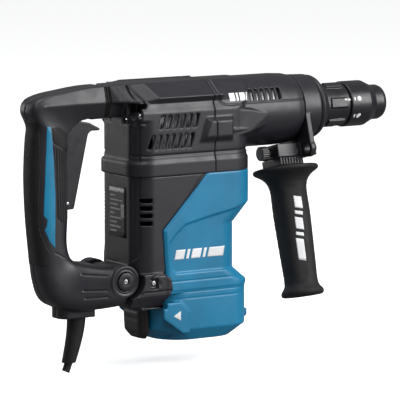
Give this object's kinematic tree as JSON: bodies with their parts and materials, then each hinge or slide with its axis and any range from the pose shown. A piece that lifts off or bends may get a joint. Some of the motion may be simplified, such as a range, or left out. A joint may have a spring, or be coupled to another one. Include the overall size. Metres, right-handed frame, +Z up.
{
  "type": "electric combination hammer drill",
  "caption": "Electric combination hammer with a rear D-handle, upright motor, crank-driven striker, quick-change chuck and swivelling side handle.",
  "frame": {"origin": "on the spindle axis at the mouth of the steel bore that takes the bit", "axes": "+X forward along the spindle, +Y to the user's left, +Z up"},
  "size_m": [0.4231, 0.123, 0.285],
  "materials": {
    "black_shell": "fine grained black plastic",
    "blue_shell": "satin teal-blue plastic",
    "black_rubber": "soft matt rubber",
    "chuck_black": "smooth satin black plastic",
    "blue_inlay": "satin blue plastic",
    "steel": "ground steel",
    "dark_steel": "phosphated steel",
    "aluminium": "cast, lightly blasted",
    "copper": "enamelled winding wire and copper bars",
    "carbon": "pressed carbon",
    "lamination": "stacked sheet steel",
    "fan_plastic": "glass-filled plastic",
    "board_potting": "potting resin",
    "grey_button": "light grey plastic"
  },
  "bodies": {
    "body": {"crank_housing_cover": "black_shell", "barrel_cover": "black_shell", "rear_cover": "black_shell", "rear_foot": "black_shell", "motor_housing": "blue_shell", "bottom_cover": "blue_shell", "body_screws": "dark_steel", "nose_cone": "black_shell", "gear_housing": "aluminium", "bearing_plate": "aluminium", "ball_bearings": "steel", "motor_stator": "lamination", "stator_coils": "copper", "brush_frame": "fan_plastic", "carbon_brushes": "carbon", "circuit_board": "board_potting", "pivot_bushes": "black_rubber", "isolation_spring": "dark_steel", "bellows": "black_rubber"},
    "rear_handle": {"handle_left": "black_shell", "handle_right": "black_shell", "grip_inlays": "blue_inlay", "grip_pad": "black_rubber", "handle_screws": "dark_steel", "switch_body": "black_shell", "pivot_bolt": "dark_steel", "cord_guard": "black_rubber", "power_cord": "black_rubber"},
    "trigger": {"trigger": "black_shell"},
    "mode_knob": {"mode_knob": "black_shell"},
    "side_clamp": {"side_clamp": "black_shell", "side_bolt": "steel", "side_collar": "black_shell"},
    "side_grip": {"side_grip": "black_rubber"},
    "gauge_button": {"gauge_button": "grey_button"},
    "armature": {"armature_shaft": "steel", "armature_core": "lamination", "armature_windings": "copper", "commutator": "copper", "cooling_fan": "fan_plastic"},
    "crank": {"crankshaft": "steel", "crank_gear": "dark_steel"},
    "countershaft": {"countershaft": "steel", "counter_gear": "dark_steel"},
    "spindle": {"cylinder": "steel", "spindle_gear": "dark_steel", "clutch_spring": "dark_steel", "chuck_body": "steel", "neck_cover": "chuck_black", "dust_cap": "black_rubber", "sleeve_spring": "dark_steel", "retaining_balls": "steel"},
    "lock_ring": {"lock_ring": "chuck_black"},
    "chuck_sleeve": {"chuck_sleeve": "chuck_black"},
    "piston": {"piston": "aluminium", "piston_seal": "black_rubber", "wrist_pin": "steel"},
    "connecting_rod": {"connecting_rod": "steel"},
    "striker": {"striker": "steel"},
    "impact_bolt": {"impact_bolt": "steel"}
  },
  "joints": [
    {"name": "motor_spin", "type": "hinge", "parent": "body", "child": "armature", "pos_m": [-0.236, 0, -0.12], "axis": [0, 0, 1], "continuous": true},
    {"name": "crank_spin", "type": "hinge", "parent": "body", "child": "crank", "pos_m": [-0.266, 0, -0.05], "axis": [0, 0, 1], "continuous": true},
    {"name": "countershaft_spin", "type": "hinge", "parent": "body", "child": "countershaft", "pos_m": [-0.2085, 0, -0.05], "axis": [0, 0, 1], "continuous": true},
    {"name": "spindle_spin", "type": "hinge", "parent": "body", "child": "spindle", "pos_m": [-0.15, 0, 0], "axis": [1, 0, 0], "continuous": true},
    {"name": "piston_slide", "type": "slide", "parent": "body", "child": "piston", "axis": [1, 0, 0], "range_m": [-0.02, 0]},
    {"name": "rod_swing", "type": "hinge", "parent": "piston", "child": "connecting_rod", "pos_m": [-0.211, 0, 0], "axis": [0, 0, 1], "range_deg": [-12.8, 12.8]},
    {"name": "striker_slide", "type": "slide", "parent": "body", "child": "striker", "axis": [1, 0, 0], "range_m": [-0.008, 0.008]},
    {"name": "impact_bolt_slide", "type": "slide", "parent": "body", "child": "impact_bolt", "axis": [1, 0, 0], "range_m": [-0.003, 0.003]},
    {"name": "handle_swing", "type": "hinge", "parent": "body", "child": "rear_handle", "pos_m": [-0.33, 0, -0.157], "axis": [0, 1, 0], "range_deg": [0, 1.2], "deforming": ["bellows", "isolation_spring"]},
    {"name": "trigger_pull", "type": "hinge", "parent": "rear_handle", "child": "trigger", "pos_m": [-0.383, 0, -0.078], "axis": [0, -1, 0], "range_deg": [0, 6]},
    {"name": "mode_knob_turn", "type": "hinge", "parent": "body", "child": "mode_knob", "pos_m": [-0.259, 0.045, -0.012], "axis": [0, 1, 0], "range_deg": [-60, 60]},
    {"name": "side_handle_swivel", "type": "hinge", "parent": "body", "child": "side_clamp", "pos_m": [-0.103, 0, 0], "axis": [1, 0, 0], "range_deg": [-180, 180]},
    {"name": "side_grip_twist", "type": "hinge", "parent": "side_clamp", "child": "side_grip", "pos_m": [-0.127, -0.02003, -0.07745], "axis": [0, -0.2504, -0.9681], "range_deg": [-180, 180]},
    {"name": "gauge_button_push", "type": "slide", "parent": "side_clamp", "child": "gauge_button", "axis": [1, 0, 0], "range_m": [0, 0.003]},
    {"name": "lock_ring_turn", "type": "hinge", "parent": "spindle", "child": "lock_ring", "pos_m": [-0.04, 0, 0], "axis": [1, 0, 0], "range_deg": [0, 45]},
    {"name": "chuck_sleeve_slide", "type": "slide", "parent": "spindle", "child": "chuck_sleeve", "axis": [1, 0, 0], "range_m": [-0.0065, 0], "deforming": ["sleeve_spring"]}
  ],
  "couplings": [
    {"joint": "crank_spin", "follows": "motor_spin", "ratio": -0.2},
    {"joint": "countershaft_spin", "follows": "motor_spin", "ratio": -0.22222},
    {"joint": "spindle_spin", "follows": "motor_spin", "ratio": -0.055556}
  ]
}
